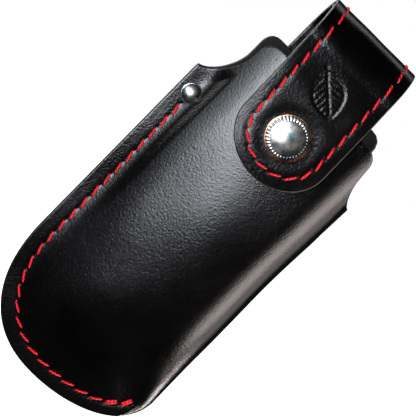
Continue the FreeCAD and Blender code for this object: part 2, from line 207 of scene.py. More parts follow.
def quarter(start, end, power, hollow, count=40):
    """Quarter of a superellipse from start to end.

    A hollow one leaves start along X and reaches end along Z; the other
    leaves start along Z and reaches end along X.
    """
    a = np.linspace(0, 0.5 * np.pi, count)
    rise = np.sin(a) ** (2 / power)
    rest = 1 - np.cos(a) ** (2 / power)
    fx, fz = (rise, rest) if hollow else (rest, rise)
    x = start[0] + (end[0] - start[0]) * fx
    z = start[1] + (end[1] - start[1]) * fz
    return np.stack([x, z], -1)


def coons(top, bottom, left, right):
    """Grid that fills four border lines: rows run from top to bottom, columns left to right.

    Each point is the mix of the two pairs of facing borders, less the mix
    of the four corners.
    """
    v = np.linspace(0, 1, len(left))[:, None, None]
    u = np.linspace(0, 1, len(top))[None, :, None]
    across = (1 - u) * left[:, None] + u * right[:, None]
    down = (1 - v) * top[None] + v * bottom[None]
    corners = (1 - v) * ((1 - u) * top[0] + u * top[-1]) + v * ((1 - u) * bottom[0] + u * bottom[-1])
    return across + down - corners


def distance_to(points, line):
    """Distance of each 2-D point to a polyline's points, block by block."""
    flat = points.reshape(-1, 2)
    out = np.empty(len(flat))
    for first in range(0, len(flat), 8192):
        block = flat[first:first + 8192]
        gap = block[:, None] - line[None]
        out[first:first + 8192] = np.sqrt((gap ** 2).sum(-1).min(1))
    return out.reshape(points.shape[:-1])


def waves(points, length, seed):
    """Smooth unevenness between about -1 and 1: sine waves in random directions."""
    count = 7
    draw = np.random.default_rng(seed)
    total = np.zeros(points.shape[:-1])
    for _ in range(count):
        direction = draw.normal(size=points.shape[-1])
        direction *= draw.uniform(0.7, 1.5) * 2 * np.pi / (length * np.linalg.norm(direction))
        total += np.sin(points @ direction + draw.uniform(0, 2 * np.pi))
    return total / math.sqrt(count)


def smooth(x):
    """Smooth step from 0 to 1."""
    x = np.clip(x, 0, 1)
    return x * x * (3 - 2 * x)


def bell(x, width):
    """Bell curve of height 1 whose half-width is about width."""
    return np.exp(-(x / width) ** 2)


# ---- meshes

def make_piece(name, points, faces, materials, slots=None, flat=None):
    """Mesh object from millimetre points; flat is the UV of every point, in millimetres."""
    mesh = bpy.data.meshes.new(name)
    mesh.from_pydata(place(points).tolist(), [], [tuple(f) for f in faces])
    for material in materials:
        mesh.materials.append(material)
    if slots is not None:
        mesh.polygons.foreach_set("material_index", np.asarray(slots, np.int32))
    mesh.polygons.foreach_set("use_smooth", np.ones(len(mesh.polygons), bool))
    if flat is not None:
        layer = mesh.uv_layers.new(name="flat")
        index = np.empty(len(mesh.loops), np.int32)
        mesh.loops.foreach_get("vertex_index", index)
        layer.data.foreach_set("uv", np.asarray(flat, np.float32)[index].ravel())
    mesh.update()
    piece = bpy.data.objects.new(name, mesh)
    bpy.context.scene.collection.objects.link(piece)
    return piece


def grid_faces(rows, cols):
    """Quads of a grid of points that is numbered row by row."""
    i, j = np.meshgrid(np.arange(rows - 1), np.arange(cols - 1), indexing="ij")
    a = (i * cols + j).ravel()
    return np.stack([a, a + 1, a + cols + 1, a + cols], -1)


def grid_normals(grid):
    """Unit normals of a grid: along its columns crossed with along its rows."""
    normal = np.cross(np.gradient(grid, axis=1), np.gradient(grid, axis=0))
    return normal / np.maximum(np.linalg.norm(normal, axis=-1, keepdims=True), 1e-9)


def leather(name, base, relief, thickness, flat, outward, materials, rings=6, joined=False):
    """Closed piece of leather: a face, a flesh side and a rounded cut edge.

    The face is the base grid moved by relief along its normal, the flesh
    side the base grid moved in by the thickness, and the edge a half turn
    of a rounded square between them.  outward is the face's direction at
    the grid's middle.  Material slots: face, flesh, edge.  A joined piece
    has a square, sharp edge on its first row, where the next one carries on.
    """
    normal = grid_normals(base)
    middle = tuple(n // 2 for n in base.shape[:2])
    if normal[middle] @ np.asarray(outward, float) < 0:
        base, relief, flat = base[:, ::-1], relief[:, ::-1], flat[:, ::-1]
        normal = -normal[:, ::-1]
    rows, cols = base.shape[:2]
    face = base + relief[..., None] * normal
    flesh = base - thickness * normal
    index = np.arange(rows * cols).reshape(rows, cols)
    loop = np.concatenate([index[0, :-1], index[:-1, -1], index[-1, :0:-1], index[:0:-1, 0]])
    rim = face.reshape(-1, 3)[loop]
    back = flesh.reshape(-1, 3)[loop]
    out = normal.reshape(-1, 3)[loop]
    tangent = np.roll(rim, -1, 0) - np.roll(rim, 1, 0)
    side = np.cross(tangent, out)
    side /= np.maximum(np.linalg.norm(side, axis=1, keepdims=True), 1e-9)
    if joined:
        side[0], side[cols - 1] = side[-1], side[cols]
        side[1:cols - 1] = 0
    turns = np.linspace(0, np.pi, rings + 2)[1:-1]
    bulge = np.sin(turns) ** EDGE_POWER
    drop = 0.5 - 0.5 * np.sign(np.cos(turns)) * np.abs(np.cos(turns)) ** EDGE_POWER
    edge = rim + drop[:, None, None] * (back - rim) + EDGE_BULGE * bulge[:, None, None] * side
    count = rows * cols
    points = np.concatenate([face.reshape(-1, 3), flesh.reshape(-1, 3), edge.reshape(-1, 3)])
    quads = grid_faces(rows, cols)
    between = [2 * count + k * len(loop) + np.arange(len(loop)) for k in range(rings)]
    levels = [loop] + between + [loop + count]
    strips = [np.stack([np.roll(a, -1), a, b, np.roll(b, -1)], -1) for a, b in zip(levels[:-1], levels[1:])]
    faces = np.concatenate([quads, quads[:, ::-1] + count] + strips)
    slots = np.concatenate([np.zeros(len(quads)), np.ones(len(quads)), np.full(len(loop) * (rings + 1), 2)])
    flat_loop = flat.reshape(-1, 2)[loop]
    uv = np.concatenate([flat.reshape(-1, 2), flat.reshape(-1, 2)] + [flat_loop] * rings)
    piece = make_piece(name, points, faces, materials, slots, uv)
    if joined:
        ends = np.empty(2 * len(piece.data.edges), np.int32)
        piece.data.edges.foreach_get("vertices", ends)
        first_row = np.concatenate([index[0], index[0] + count])
        sharp = np.isin(ends.reshape(-1, 2), first_row).all(1)
        piece.data.attributes.new("sharp_edge", "BOOLEAN", "EDGE").data.foreach_set("value", sharp)
    return piece


def lathe(name, profile, centre, h, materials, turns=64, relief=None, rim=math.inf):
    """Turned piece: (radius, height) pairs carried round a line that points to the front.

    The first and last rings are closed with flat ends.  Past the radius
    rim the piece has its second material.
    """
    profile = np.asarray(profile, float)
    angle = np.linspace(0, 2 * np.pi, turns, endpoint=False)
    radius = profile[:, :1] * np.ones(turns)
    height = profile[:, 1:] * np.ones(turns)
    if relief is not None:
        height = height + relief(radius, angle[None])
    x = centre[0] + radius * np.cos(angle)
    z = centre[1] + radius * np.sin(angle)
    points = np.stack([x, -(h + height), z], -1)
    rings = np.arange(len(profile) * turns).reshape(len(profile), turns)
    a, b = rings[:-1], rings[1:]
    quads = np.stack([a, b, np.roll(b, -1, 1), np.roll(a, -1, 1)], -1).reshape(-1, 4)
    faces = [tuple(q) for q in quads] + [tuple(rings[0]), tuple(rings[-1][::-1])]
    slots = np.append(np.repeat(profile[:-1, 0] > rim, turns), [False, False])
    return make_piece(name, points.reshape(-1, 3), faces, materials, slots)


# ---- pouch shape

def outline(inset, top, end_z):
    """Seam side of the pouch, inset from its edge: down the left, round the tip, up to end_z."""
    left = TIP_X - (LEFT_REACH - inset)
    straight = np.array([[left, top], [left, LEFT_RISE]])
    a = np.linspace(0.5 * np.pi, 0, 60)
    corner_x = TIP_X - (LEFT_REACH - inset) * np.sin(a) ** (2 / LEFT_POWER)
    corner_z = LEFT_RISE - (LEFT_RISE - inset) * np.cos(a) ** (2 / LEFT_POWER)
    stop = math.acos((RIGHT_RISE - end_z) / (RIGHT_RISE - inset))
    b = np.linspace(0, stop, 50)[1:]
    right_x = TIP_X + (RIGHT_REACH - RIGHT_DRAW * inset) * np.sin(b)
    right_z = RIGHT_RISE - (RIGHT_RISE - inset) * np.cos(b)
    corner = np.stack([corner_x, corner_z], -1)
    return np.concatenate([straight, corner, np.stack([right_x, right_z], -1)])


def fold_x(z):
    """X of the outside of the fold: the outline's ellipse low down, a slight waist above."""
    z = np.asarray(z, float)
    drop = (RIGHT_RISE - np.minimum(z, RIGHT_RISE)) / RIGHT_RISE
    low = TIP_X + RIGHT_REACH * np.sqrt(np.maximum(1 - drop ** 2, 0))
    high = FOLD_WAIST_X + FOLD_FLARE * ((z - FOLD_WAIST_Z) / FOLD_FLARE_SPAN) ** 2
    return np.where(z < RIGHT_RISE, low, high)


def fold_reach(z):
    """How far in from its outside the fold's rounding starts."""
    return np.clip(FOLD_LEAST_R + FOLD_GROWTH * (z - CORNER_Z), FOLD_LEAST_R, FOLD_R)


def turn_x(z):
    """X of the line where the flat panels turn into the fold."""
    return fold_x(z) - fold_reach(z)


SEAM_EDGE = resample(outline(0, SHOULDER_Z + 30, CORNER_Z), 700)
LATTICE_X = np.arange(-42.0, 44.0)
LATTICE_Z = np.arange(-8.0, 152.0)


def blurred(field, width):
    """Lattice smoothed with a bell curve of that half-width, in lattice steps, along both axes."""
    reach = int(3 * width)
    weight = bell(np.arange(-reach, reach + 1), 1.4 * width)
    weight /= weight.sum()
    for axis in (0, 1):
        pad = [(reach, reach) if k == axis else (0, 0) for k in (0, 1)]
        padded = np.pad(field, pad, mode="reflect", reflect_type="odd")
        field = np.apply_along_axis(lambda line: np.convolve(line, weight, "valid"), axis, padded)
    return field


def dome_lattice():
    """Distance inside the seam's crease on a 1 mm lattice, its ridges smoothed away from the seam."""
    xz = np.stack(np.meshgrid(LATTICE_X, LATTICE_Z, indexing="ij"), -1)
    inside = distance_to(xz, SEAM_EDGE) - DOME_INSET
    soft = 0.5 * (inside + np.sqrt(inside ** 2 + CREASE ** 2)) - CREASE_SINK
    share = smooth((inside - RIDGE_START) / RIDGE_SPAN)
    return (1 - share) * soft + share * blurred(inside, RIDGE)


INSIDE = dome_lattice()


def on_lattice(lattice, xz):
    """Value between the lattice's points, mixed from the four round each point."""
    x = np.clip(xz[..., 0] - LATTICE_X[0], 0, len(LATTICE_X) - 1.001)
    z = np.clip(xz[..., 1] - LATTICE_Z[0], 0, len(LATTICE_Z) - 1.001)
    i, j = x.astype(int), z.astype(int)
    u, v = x - i, z - j
    low = (1 - u) * lattice[i, j] + u * lattice[i + 1, j]
    high = (1 - u) * lattice[i, j + 1] + u * lattice[i + 1, j + 1]
    return (1 - v) * low + v * high


def front_height(xz):
    """Height of the front's face above the back's: flat margin, crease, then a dome.

    With t the distance inside the crease over the dome's width, the dome
    is 1 - (1 - t) ** DOME_POWER, and the crease a smooth step up.
    Towards the mouth the left side stands forward more, as the seam has
    ended there: t gains WING times what it lacks.  Towards the tip the
    whole dome sinks by TAPER.
    """
    inside = on_lattice(INSIDE, xz)
    t = np.clip(inside / DOME_WIDTH, 0, 1)
    loose = np.maximum(smooth(inside / WING_LOOSE), smooth((xz[..., 1] - WING_FREE_Z) / WING_FREE_SPAN))
    free = smooth((xz[..., 1] - WING_Z) / WING_SPAN) * smooth((xz[..., 0] - SHOULDER_X) / WING_REACH)
    t = t + WING * free * loose * (1 - t)
    full = 1 - TAPER * (1 - smooth(xz[..., 1] / TAPER_Z))
    return 2 * PANEL + (DEPTH - 2 * PANEL) * full * (1 - (1 - t) ** DOME_POWER)


def mouth(knee, corner, top_left, top_right, right_corner, right_knee):
    """Top edge of one panel: hollow flank, round corner, top, corner, flank."""
    middle = (0.5 * (top_left[0] + top_right[0]), top_right[1] + MOUTH_SAG * (top_left[1] - top_right[1]))
    fold_shoulder = (float(fold_x(SHOULDER_Z)) - 0.1, SHOULDER_Z + 0.6)
    parts = [
        quarter((SHOULDER_X, SHOULDER_Z), knee, FLANK_POWER, True),
        quarter((knee[0], corner), top_left, MOUTH_POWER, False),
        np.array([top_left, middle, top_right]),
        quarter(right_corner, top_right, MOUTH_POWER, False)[::-1],
        quarter(fold_shoulder, right_knee, FLANK_POWER, True)[::-1],
    ]
    return np.concatenate(parts)


FRONT_MOUTH = mouth((-22.3, 127.0), 129.0, (-17.0, 134.1), (21.5, 131.8), (28.0, 127.2), (28.5, 123.0))
BACK_MOUTH = mouth((-23.5, 126.0), 131.5, (-19.5, 135.9), (22.8, 135.9), (27.2, 131.6), (27.9, 124.0))

ROWS = 200
FRONT_COLS = 112
FOLD_COLS = 28
BACK_COLS = 56


def panel_grid(mouth_line, cols):
    """Flat grid of one panel in (x, z), from the seam side to the turn into the fold.

    Returns the grid and the part of the mouth that is left for the fold.
    """
    line = resample(mouth_line, 1200)
    past = np.argmax(line[:, 0] >= turn_x(line[:, 1]))
    top = resample(line[:past + 1], cols)
    rest = line[past:]
    edge = outline(EDGE_BULGE, SHOULDER_Z, CORNER_Z)
    edge[0] = (SHOULDER_X, SHOULDER_Z)
    split = 1 + 30
    left = resample(edge[:split + 1], ROWS)
    z = np.linspace(top[-1][1], edge[-1][1] + 0.1, ROWS)
    right = np.stack([turn_x(z), z], -1)
    lower = edge[split:]
    lower = lower[lower[:, 0] < right[-1, 0] - 0.4]
    bottom = resample(np.concatenate([lower, right[-1:]]), cols)
    return coons(top, bottom, left, right), rest


def fold_grid(rest, right_z, half):
    """Grid round one half of the fold: half is 1 in front and -1 behind.

    The section is a half ellipse.  Its columns start spread along the
    mouth and are even round the fold lower down.
    """
    count = FOLD_COLS // 2 + 1
    line = resample(rest, count)
    reach = fold_reach(line[:, 1])
    cosine = np.clip((line[:, 0] - turn_x(line[:, 1])) / reach, 0, 1)
    top_angle = np.arccos(cosine)
    top_angle[0], top_angle[-1] = 0.5 * np.pi, 0.0
    even = np.linspace(0.5 * np.pi, 0, count)
    v = np.linspace(0, 1, ROWS)[:, None]
    mix = smooth(5 * v)
    angle = (1 - mix) * top_angle + mix * even
    z = line[:, 1] * (1 - v) + right_z[-1] * v
    height = front_height(np.stack([turn_x(z), z], -1))
    x = turn_x(z) + fold_reach(z) * np.cos(angle)
    h = 0.5 * height * (1 + half * np.sin(angle))
    return np.stack([x, -h, z], -1)


def pouch_surface():
    """The whole face of the folded leather as one grid: front, fold, back.

    Also returns the flat coordinates of every point, in millimetres.
    """
    flat_front, front_rest = panel_grid(FRONT_MOUTH, FRONT_COLS)
    flat_back, back_rest = panel_grid(BACK_MOUTH, BACK_COLS)
    front = np.stack([flat_front[..., 0], -front_height(flat_front), flat_front[..., 1]], -1)
    back = np.stack([flat_back[..., 0], np.zeros(flat_back.shape[:2]), flat_back[..., 1]], -1)
    near = fold_grid(front_rest, flat_front[:, -1, 1], 1)
    far = fold_grid(back_rest, flat_back[:, -1, 1], -1)
    grid = np.concatenate([front, near[:, 1:], far[:, -2::-1], back[:, -2::-1]], axis=1)
    steps = np.linalg.norm(np.diff(grid, axis=1), axis=-1)
    across = np.concatenate([np.zeros((ROWS, 1)), np.cumsum(steps, axis=1)], axis=1)
    across += grid[:, :1, 0]
    return grid, np.stack([across, grid[..., 2]], -1)


# ---- strap shape

def strap_line():
    """The strap's path, as steps along it: each stretch has a length and a turn.

    Headings start upwards; a positive turn leans back.  Returns distance
    along, Y, Z and heading, at the bare face of the lining.
    """
    turn = math.acos(1 - LOOP_GAP / (2 * LOOP_BEND_R))
    ramp = LOOP_BEND_R * turn
    rise = 2 * LOOP_BEND_R * math.sin(turn)
    centre_z = STRAP_TOP_Z - STRAP - 0.5 * TAB_GAP
    stretches = [
        (LOOP_LOW_Z - LOOP_END_Z, 0.0), (ramp, turn), (ramp, -turn),
        (LOOP_HIGH_Z - LOOP_LOW_Z - 2 * rise, 0.0), (ramp, -turn), (ramp, turn),
        (centre_z - LOOP_HIGH_Z, 0.0), (0.5 * math.pi * TAB_GAP, -math.pi),
        (centre_z - TAB_END_Z + 1, 0.0),
    ]
    ends = np.cumsum([0.0] + [length for length, _ in stretches])
    headings = np.cumsum([0.0] + [angle for _, angle in stretches])
    along = np.linspace(0, ends[-1], 6000)
    heading = np.interp(along, ends, headings)
    step = along[1]
    middle = 0.5 * (heading[1:] + heading[:-1])
    y = np.concatenate([[0.0], np.cumsum(np.sin(middle) * step)])
    z = LOOP_END_Z + np.concatenate([[0.0], np.cumsum(np.cos(middle) * step)])
    return along, y, z, heading, ends


ALONG, LINE_Y, LINE_Z, HEADING, ENDS = strap_line()
APEX = 0.5 * (ENDS[7] + ENDS[8])
TAB_END = ENDS[8] + (STRAP_TOP_Z - STRAP - 0.5 * TAB_GAP - TAB_END_Z)
SPLIT = ENDS[6] + SPLIT_Z - LOOP_HIGH_Z
PULL_START = TAB_END - 12.0


def skew(u):
    """How far the strap's middle has drifted to the right, past the top of the bend."""
    return STRAP_X + STRAP_SKEW * np.maximum(u - APEX, 0)


def pull(u):
    """How far the stud pulls the tab's upper part in: a parabola up the tab, easing out over the bend."""
    up = np.clip((PULL_START - u) / (PULL_START - ENDS[8]), 0, 1) ** 2
    return PULL * up * smooth((u - APEX) / (ENDS[8] - APEX))


def on_strap(xu, d):
    """Point d outside the lining's bare face, at (x, distance along)."""
    u = xu[..., 1]
    d = d - pull(u)
    y = np.interp(u, ALONG, LINE_Y)
    z = np.interp(u, ALONG, LINE_Z)
    heading = np.interp(u, ALONG, HEADING)
    return np.stack([xu[..., 0], y + d * np.cos(heading), z - d * np.sin(heading)], -1)


def rear_outline(cols, rows):
    """Flat grid of the strap from its lower end, with two round corners, to the split."""
    half = 0.5 * STRAP_W - EDGE_BULGE
    r = LOOP_CORNER_R
    left_corner = quarter((-half, EDGE_BULGE + r), (-half + r, EDGE_BULGE), 2.0, False, 41)
    right_corner = left_corner[::-1] * (-1, 1)
    left = np.concatenate([[[-half, SPLIT]], left_corner[:21]])
    bottom = np.concatenate([left_corner[20:], right_corner[:21]])
    right = left * (-1, 1)
    top = np.array([[-half, SPLIT], [half, SPLIT]])
    grid = coons(resample(top, cols), resample(bottom, cols), resample(left, rows), resample(right, rows))
    grid[..., 0] += STRAP_X
    return grid


def tab_curve(inset):
    """Rounded end of the tab about its own middle line: half an ellipse, left to right."""
    half = 0.5 * STRAP_W - inset
    neck = TAB_END - TAB_ROUND
    a = np.linspace(0, np.pi, 81)
    return np.stack([-half * np.cos(a), neck + (TAB_ROUND - inset) * np.sin(a)], -1)


def tab_outline_grid(cols, rows):
    """Flat grid of the strap from the split, over the bend, to the tab's rounded end."""
    end = tab_curve(EDGE_BULGE)
    quarter_point = len(end) // 4
    left = np.concatenate([[[end[0, 0], SPLIT]], end[:quarter_point + 1]])
    bottom = end[quarter_point:len(end) - quarter_point]
    right = left * (-1, 1)
    top = np.array([left[0], right[0]])
    grid = coons(resample(top, cols), resample(bottom, cols), resample(left, rows), resample(right, rows))
    grid[..., 0] += skew(grid[..., 1])
    return grid


# ---- stitches

class Row:
    """A row of stitches along a flat polyline: its holes and slanted threads.

    Each thread runs from beside one hole to beside the next, shorter than
    the pitch by the gap, and slant millimetres off the line at both ends.
    """

    def __init__(self, line, pitch, slant):
        line = np.asarray(line, float)
        length = np.linalg.norm(np.diff(line, axis=0), axis=1).sum()
        count = max(int(round(length / pitch)), 1)
        self.line = resample(line, count * STITCH_STEPS + 1)
        self.holes = self.line[::STITCH_STEPS]
        along = self.holes[1:] - self.holes[:-1]
        along /= np.linalg.norm(along, axis=1, keepdims=True)
        side = np.stack([-along[:, 1], along[:, 0]], -1)
        gap = STITCH_GAP * pitch
        self.start = self.holes[:-1] + along * gap * 0.5 - side * slant
        self.end = self.holes[1:] - along * gap * 0.5 + side * slant


def stitch_relief(flat, row, depth, hole):
    """Groove along a row of stitches, with a dimple at each hole."""
    groove = -depth * bell(distance_to(flat, row.line), GROOVE_W)
    dimple = -hole * bell(distance_to(flat, row.holes), HOLE_W)
    return groove + dimple


def thread(name, rows, surface, material):
    """Twisted stitches: each a short cord that rises from one hole and dips into the next.

    The middle line is straight in the flat, its lift is a steep-sided
    arch, and the section is a ring with two lobes, the plies, that turn
    by PLY_TWIST radians of phase a millimetre.
    """
    steps, ring = 12, 6
    start = np.concatenate([row.start for row in rows])[:, None]
    end = np.concatenate([row.end for row in rows])[:, None]
    t = np.linspace(0, 1, steps)[None, :, None]
    flat = start * (1 - t) + end * t
    arch = np.sin(np.pi * np.linspace(0.02, 0.98, steps)) ** 0.35
    lift = (-HOLE_DIVE + (HOLE_DIVE + THREAD_R - THREAD_SUNK) * arch)[None] * np.ones(flat.shape[:2])
    line = surface(flat, lift)
    out = surface(flat, lift + 1.0) - line
    along = np.gradient(line, axis=1)
    along /= np.linalg.norm(along, axis=-1, keepdims=True)
    across = np.cross(along, out)
    across /= np.linalg.norm(across, axis=-1, keepdims=True)
    up = np.cross(across, along)
    angle = np.linspace(0, 2 * np.pi, ring, endpoint=False)
    reach = np.linalg.norm(end - start, axis=-1)[:, :, None] * t[..., 0][..., None]
    lobes = 1 + PLY_LOBE * np.cos(2 * angle - PLY_TWIST * reach)
    slim = (THREAD_R * (THREAD_END + (1 - THREAD_END) * arch)[:, None] * lobes)[..., None]
    points = (line[:, :, None]
              + slim * np.cos(angle)[:, None] * across[:, :, None]
              + slim * np.sin(angle)[:, None] * up[:, :, None])
    one = np.arange(steps * ring).reshape(steps, ring)
    a, b = one[:-1], one[1:]
    quads = np.stack([a, b, np.roll(b, -1, 1), np.roll(a, -1, 1)], -1).reshape(-1, 4)
    count = len(points)
    shift = (np.arange(count) * steps * ring)[:, None, None]
    walls = (quads[None] + shift).reshape(-1, 4)
    caps = np.concatenate([(one[:1] + shift[:, 0]), (one[-1:, ::-1] + shift[:, 0])])
    faces = [tuple(f) for f in walls] + [tuple(f) for f in caps]
    around = THREAD_R * angle[None, None] * np.ones((count, steps, 1))
    uv = np.stack([reach * np.ones((1, 1, ring)) + 11.0 * np.arange(count)[:, None, None], around], -1)
    return make_piece(name, points.reshape(-1, 3), faces, [material], flat=uv.reshape(-1, 2))


# ---- materials

def colour(code):
    """Linear colour from an sRGB hex value."""
    parts = [int(code[k:k + 2], 16) / 255 for k in (1, 3, 5)]
    return tuple(c / 12.92 if c <= 0.04045 else ((c + 0.055) / 1.055) ** 2.4 for c in parts) + (1.0,)


def add(tree, kind, sockets=None, out=0, stops=(), **settings):
    """Adds a node and returns one of its outputs.

    settings are its properties; sockets, by name or number, take a value
    or what feeds them; stops are a colour ramp's places and hex values.
    """
    node = tree.nodes.new("ShaderNode" + kind)
    for key, value in settings.items():
        setattr(node, key, value)
    for key, value in (sockets or {}).items():
        if isinstance(value, bpy.types.NodeSocket):
            tree.links.new(value, node.inputs[key])
        else:
            node.inputs[key].default_value = value
    for number, (position, code) in enumerate(stops):
        node.color_ramp.elements[number].position = position
        node.color_ramp.elements[number].color = colour(code)
    return node.outputs[out]


def material(name, **shader):
    """New material with its shader's own sockets set: returns it, its tree and its shader."""
    made = bpy.data.materials.new(name)
    made.use_nodes = True
    tree = made.node_tree
    principled = tree.nodes["Principled BSDF"]
    for key, value in shader.items():
        principled.inputs[key.replace("_", " ")].default_value = value
    return made, tree, principled


def feed(shader, **sources):
    """Links what varies over the surface to the shader's sockets."""
    for key, source in sources.items():
        shader.id_data.links.new(source, shader.inputs[key.replace("_", " ")])


def per_mm(size):
    """Pattern scale on Object coordinates for a feature of that many millimetres."""
    return 1 / (size * MM)


def grained(name, dark, light, rough, grain_mm):
    """Drum-dyed and top-finished cowhide.

    A fine hair-cell grain, drawn as rounded cells, with pores and broad
    soft unevenness from the hide; the pigment is all but even, and the
    finish is glossier on the grain's tops than between them.
    """
    made, tree, shader = material(name, Coat_Weight=0.03, Coat_Roughness=0.22, Specular_IOR_Level=0.3)
    spot = add(tree, "TexCoord", out="Object")
    cells = add(tree, "TexVoronoi", {"Vector": spot, "Scale": per_mm(grain_mm), "Randomness": 0.9},
                feature="SMOOTH_F1")
    pores = add(tree, "TexNoise", {"Vector": spot, "Scale": per_mm(0.6), "Detail": 3.0, "Roughness": 0.6})
    folds = add(tree, "TexNoise", {"Vector": spot, "Scale": per_mm(7.0), "Detail": 4.0, "Roughness": 0.55})
    hide = add(tree, "TexNoise", {"Vector": spot, "Scale": per_mm(26.0), "Detail": 2.0})
    broad = add(tree, "Math", {0: hide, 1: 0.6}, operation="MULTIPLY")
    tint = add(tree, "Math", {0: pores, 1: 0.4, 2: broad}, operation="MULTIPLY_ADD")
    soft = add(tree, "Math", {0: folds, 1: 0.5}, operation="MULTIPLY")
    gloss = add(tree, "Math", {0: cells, 1: 0.5, 2: soft}, operation="MULTIPLY_ADD")
    deep = add(tree, "Bump", {"Height": folds, "Strength": 0.12, "Distance": 0.25 * MM})
    fine = add(tree, "Bump", {"Height": pores, "Normal": deep, "Strength": 1.0, "Distance": 0.07 * MM})
    feed(shader,
         Base_Color=add(tree, "ValToRGB", {"Fac": tint}, stops=((0.35, dark), (0.65, light))),
         Roughness=add(tree, "MapRange", {"Value": gloss, "From Min": 0.25, "From Max": 0.6,
                                          "To Min": rough - 0.02, "To Max": rough + 0.03}),
         Normal=add(tree, "Bump", {"Height": cells, "Normal": fine, "Strength": 0.7,
                                   "Distance": 0.045 * MM}, invert=True))
    return made


def black_cowhide():
    """Drum-dyed black cowhide, plated semi-gloss: a near black with a soft, greyish shine."""
    return grained("drum-dyed black cowhide", "#000000", "#030303", 0.17, 0.7)


def strap_cowhide():
    """The same hide, a little smoother: the strap is cut from the firmer back of it."""
    return grained("drum-dyed black strap cowhide", "#000000", "#020202", 0.18, 0.7)


def raw_flesh_side():
    """Unfinished flesh side: dyed dark brown in the drum, matt, with short loose fibres."""
    made, tree, shader = material("flesh side of dyed cowhide", Specular_IOR_Level=0.25)
    spot = add(tree, "TexCoord", out="Object")
    nap = add(tree, "TexNoise", {"Vector": spot, "Scale": per_mm(0.7), "Detail": 5.0, "Roughness": 0.7})
    broad = add(tree, "TexNoise", {"Vector": spot, "Scale": per_mm(6.0), "Detail": 3.0})
    half = add(tree, "Math", {0: broad, 1: 0.5}, operation="MULTIPLY")
    tint = add(tree, "Math", {0: nap, 1: 0.5, 2: half}, operation="MULTIPLY_ADD")
    feed(shader,
         Base_Color=add(tree, "ValToRGB", {"Fac": tint}, stops=((0.35, "#050404"), (0.68, "#100c0b"))),
         Roughness=add(tree, "MapRange", {"Value": nap, "From Min": 0.3, "From Max": 0.7,
                                          "To Min": 0.78, "To Max": 0.95}),
         Normal=add(tree, "Bump", {"Height": nap, "Strength": 0.7, "Distance": 0.18 * MM}))
    return made


def burnished_edge():
    """Cut edge, inked black and rubbed with wax: smoother than the flesh, with the layers' fine lines."""
    made, tree, shader = material("inked and burnished edge", Specular_IOR_Level=0.3, Coat_Weight=0.05,
                                  Coat_Roughness=0.3)
    spot = add(tree, "TexCoord", out="Object")
    fibre = add(tree, "TexNoise", {"Vector": spot, "Scale": per_mm(0.8), "Detail": 4.0, "Roughness": 0.65})
    worn = add(tree, "TexNoise", {"Vector": spot, "Scale": per_mm(5.0), "Detail": 3.0})
    feed(shader,
         Base_Color=add(tree, "ValToRGB", {"Fac": worn}, stops=((0.42, "#030303"), (0.72, "#0c0c0d"))),
         Roughness=add(tree, "MapRange", {"Value": fibre, "From Min": 0.3, "From Max": 0.7,
                                          "To Min": 0.36, "To Max": 0.58}),
         Normal=add(tree, "Bump", {"Height": fibre, "Strength": 0.5, "Distance": 0.1 * MM}))
    return made


def waxed_thread():
    """Bonded and waxed polyester, two plies: saturated red with a satin shine; the base colour carries
    painted shade in the grooves between the plies and a painted highlight on each ply's crest.
    """
    made, tree, shader = material("waxed red polyester thread", Specular_IOR_Level=0.25)
    flat = add(tree, "UVMap", uv_map="flat")
    along = add(tree, "SeparateXYZ", {0: flat}, out="X")
    around = add(tree, "SeparateXYZ", {0: flat}, out="Y")
    # a ply's turn: two crests round the thread, leaning PLY_TWIST radians a millimetre along it
    lean = add(tree, "Math", {0: along, 1: -PLY_TWIST}, operation="MULTIPLY")
    phase = add(tree, "Math", {0: around, 1: 2 / THREAD_R, 2: lean}, operation="MULTIPLY_ADD")
    ply = add(tree, "Math", {0: phase}, operation="COSINE")
    stretch = add(tree, "Mapping", {"Vector": flat, "Rotation": (0, 0, 0.5), "Scale": (1.2, 9.0, 1.0)})
    fibre = add(tree, "TexNoise", {"Vector": stretch, "Scale": 1.0, "Detail": 3.0})
    height = add(tree, "Math", {0: fibre, 1: 0.5, 2: ply}, operation="MULTIPLY_ADD")
    share = add(tree, "MapRange", {"Value": height, "From Min": -0.8, "From Max": 1.2})
    # painted shade and painted highlight: the base colour is dark red in the grooves between the plies and
    # bright red on their crests, following the twist
    feed(shader,
         Base_Color=add(tree, "ValToRGB", {"Fac": share}, stops=((0.1, "#520208"), (0.75, "#de061d"))),
         Roughness=add(tree, "MapRange", {"Value": fibre, "From Min": 0.3, "From Max": 0.7,
                                          "To Min": 0.42, "To Max": 0.62}),
         Normal=add(tree, "Bump", {"Height": height, "Strength": 0.6, "Distance": 0.12 * MM}))
    return made


def plated(name, tone, shade, rough, scratch):
    """Barrel-plated metal: bright, with hair-fine handling marks and a cloudy polish whose colour drifts
    between tone and shade; on the nickel the blue-grey and warm clouds are painted reflections of the
    surroundings.
    """
    made, tree, shader = material(name, Metallic=1.0)
    spot = add(tree, "TexCoord", out="Object")
    cloud = add(tree, "TexNoise", {"Vector": spot, "Scale": per_mm(3.2), "Detail": 4.0})
    squeeze = add(tree, "Mapping", {"Vector": spot, "Rotation": (0.2, 0.7, 0.3), "Scale": (1.0, 1.0, 9.0)})
    marks = add(tree, "TexNoise", {"Vector": squeeze, "Scale": per_mm(1.4), "Detail": 5.0})
    streaks = add(tree, "Math", {0: marks, 1: 0.4}, operation="MULTIPLY")
    mixed = add(tree, "Math", {0: cloud, 1: 0.6, 2: streaks}, operation="MULTIPLY_ADD")
    # the colour clouds at random between tone and shade; on the nickel these clouds are painted reflections
    feed(shader,
         Base_Color=add(tree, "ValToRGB", {"Fac": cloud}, stops=((0.38, shade), (0.62, tone))),
         Roughness=add(tree, "MapRange", {"Value": mixed, "From Min": 0.35, "From Max": 0.65,
                                          "To Min": rough, "To Max": rough + 0.1}),
         Normal=add(tree, "Bump", {"Height": marks, "Strength": scratch, "Distance": 0.02 * MM}))
    return made


black = black_cowhide()
strap_black = strap_cowhide()
flesh = raw_flesh_side()
edge_ink = burnished_edge()
red = waxed_thread()
